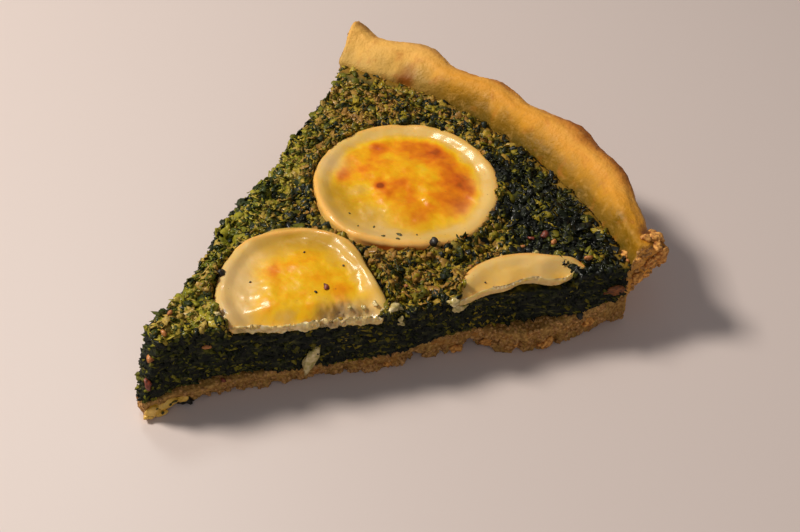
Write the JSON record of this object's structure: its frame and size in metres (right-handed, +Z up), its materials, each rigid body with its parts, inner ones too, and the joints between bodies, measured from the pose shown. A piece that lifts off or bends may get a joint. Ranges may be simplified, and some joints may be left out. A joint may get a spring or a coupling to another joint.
{
  "type": "spinach quiche slice",
  "caption": "Wedge of spinach quiche in a finger-pressed pastry crust, topped with baked goat's cheese cut from a log, lying flat on its base.",
  "frame": {"origin": "under the middle of the slice's bounds, on the pastry's flat underside", "axes": "+X from the tip of the slice to its pastry rim, +Y to the left of that, +Z up"},
  "size_m": [0.134, 0.1158, 0.0282],
  "materials": {
    "pastry": "dry, crumbly shortcrust, browned at the rim",
    "spinach": "moist chopped spinach set in egg custard",
    "cheese": "baked goat's cheese, oily and toasted in the middle, pale at the rind"
  },
  "bodies": {
    "root": {"pastry_crust": "pastry", "spinach_filling": "spinach", "cheese_round": "cheese", "cheese_half": "cheese", "cheese_sliver": "cheese"}
  },
  "joints": []
}
